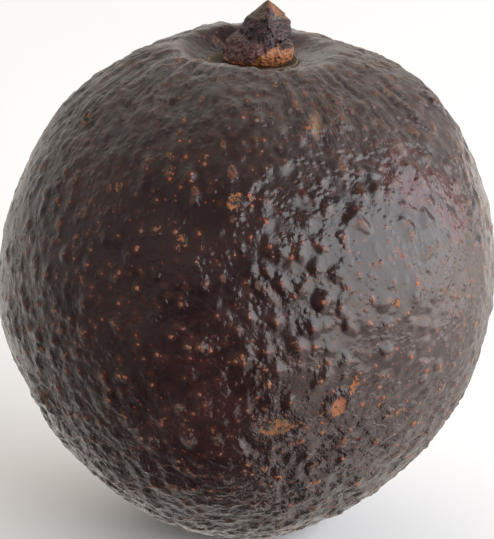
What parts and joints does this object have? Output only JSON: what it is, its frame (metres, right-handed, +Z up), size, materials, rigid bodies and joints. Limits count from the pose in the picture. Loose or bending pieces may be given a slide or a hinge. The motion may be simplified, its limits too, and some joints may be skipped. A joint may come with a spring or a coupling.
{
  "type": "avocado",
  "caption": "Whole ripe avocado with dark pebbled skin and a woody stem button, standing on the small flat spot at its blossom end.",
  "frame": {"origin": "middle of the small flat spot at the blossom end, on which the fruit stands", "axes": "+Z up through the stem end, -Y towards the viewer, +X to the viewer's right"},
  "size_m": [0.0703, 0.0696, 0.0775],
  "materials": {
    "avocado_skin": "waxy satin, purple-black with small orange lenticels",
    "stem_wood": "matt, rough, orange-brown bark over dark purple-brown"
  },
  "bodies": {
    "root": {"fruit": "avocado_skin", "stem_button": "stem_wood"}
  },
  "joints": []
}
